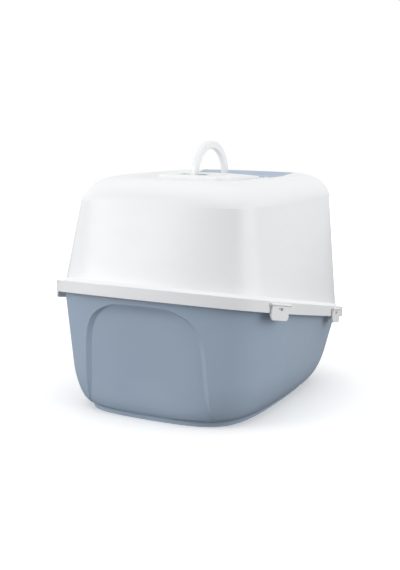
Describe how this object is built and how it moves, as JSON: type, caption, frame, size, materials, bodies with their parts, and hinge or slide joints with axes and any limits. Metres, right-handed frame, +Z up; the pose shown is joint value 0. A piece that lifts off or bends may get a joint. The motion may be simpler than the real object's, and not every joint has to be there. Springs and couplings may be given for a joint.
{
  "type": "cat litter box with hood",
  "caption": "Hooded cat litter box: deep tray with sloping rim, lift-off domed hood with swing-up front panel and flap, roof filter, folding handle and side clips.",
  "frame": {"origin": "on the floor, in the middle of the box's overall length and width", "axes": "-Y the entrance end, +Y the rear, +X to the right seen from the entrance, +Z up"},
  "size_m": [0.4948, 0.655, 0.525],
  "materials": {
    "tray_blue": "satin",
    "hood_white": "gloss",
    "flap_clear": "gloss",
    "charcoal": "matte",
    "steel": "satin",
    "pin_white": "satin"
  },
  "bodies": {
    "base": {"base_tray": "tray_blue"},
    "hood": {"hood_shell": "hood_white", "vent_cover": "hood_white", "cover_screws": "steel", "filter_frame": "hood_white", "charcoal_filter": "charcoal", "handle_pin_front": "pin_white", "handle_pin_rear": "pin_white", "panel_pin_left": "pin_white", "panel_pin_right": "pin_white", "clip_pin_rear_left": "pin_white", "clip_pin_rear_right": "pin_white", "clip_pin_front_left": "pin_white", "clip_pin_front_right": "pin_white"},
    "handle": {"carry_handle": "hood_white"},
    "panel": {"entry_panel": "tray_blue", "flap_pin_left": "pin_white", "flap_pin_right": "pin_white"},
    "flap": {"swing_flap": "flap_clear"},
    "clip_rear_left_body": {"clip_rear_left": "hood_white"},
    "clip_rear_right_body": {"clip_rear_right": "hood_white"},
    "clip_front_left_body": {"clip_front_left": "hood_white"},
    "clip_front_right_body": {"clip_front_right": "hood_white"}
  },
  "joints": [
    {"name": "hood_lift", "type": "slide", "parent": "base", "child": "hood", "axis": [0, 0, 1], "range_m": [0, 0.3]},
    {"name": "handle_fold", "type": "hinge", "parent": "hood", "child": "handle", "pos_m": [0, 0.018, 0.453], "axis": [0, 1, 0], "range_deg": [-55, 55]},
    {"name": "panel_swing", "type": "hinge", "parent": "hood", "child": "panel", "pos_m": [0, -0.095, 0.44965], "axis": [-1, 0, 0], "range_deg": [0, 75]},
    {"name": "flap_swing", "type": "hinge", "parent": "panel", "child": "flap", "pos_m": [0, -0.28, 0.3722], "axis": [1, 0, 0], "range_deg": [-70, 70]},
    {"name": "clip_rear_left_hinge", "type": "hinge", "parent": "hood", "child": "clip_rear_left_body", "pos_m": [-0.23273, 0.20639, 0.23348], "axis": [0.239, 0.9584, 0.1562], "range_deg": [0, 90]},
    {"name": "clip_rear_right_hinge", "type": "hinge", "parent": "hood", "child": "clip_rear_right_body", "pos_m": [0.23273, 0.20639, 0.23348], "axis": [0.239, -0.9584, -0.1562], "range_deg": [0, 90]},
    {"name": "clip_front_left_hinge", "type": "hinge", "parent": "hood", "child": "clip_front_left_body", "pos_m": [-0.24413, -0.11129, 0.18181], "axis": [-0.0344, 0.9864, 0.1608], "range_deg": [0, 90]},
    {"name": "clip_front_right_hinge", "type": "hinge", "parent": "hood", "child": "clip_front_right_body", "pos_m": [0.24413, -0.11129, 0.18181], "axis": [-0.0344, -0.9864, -0.1608], "range_deg": [0, 90]}
  ]
}
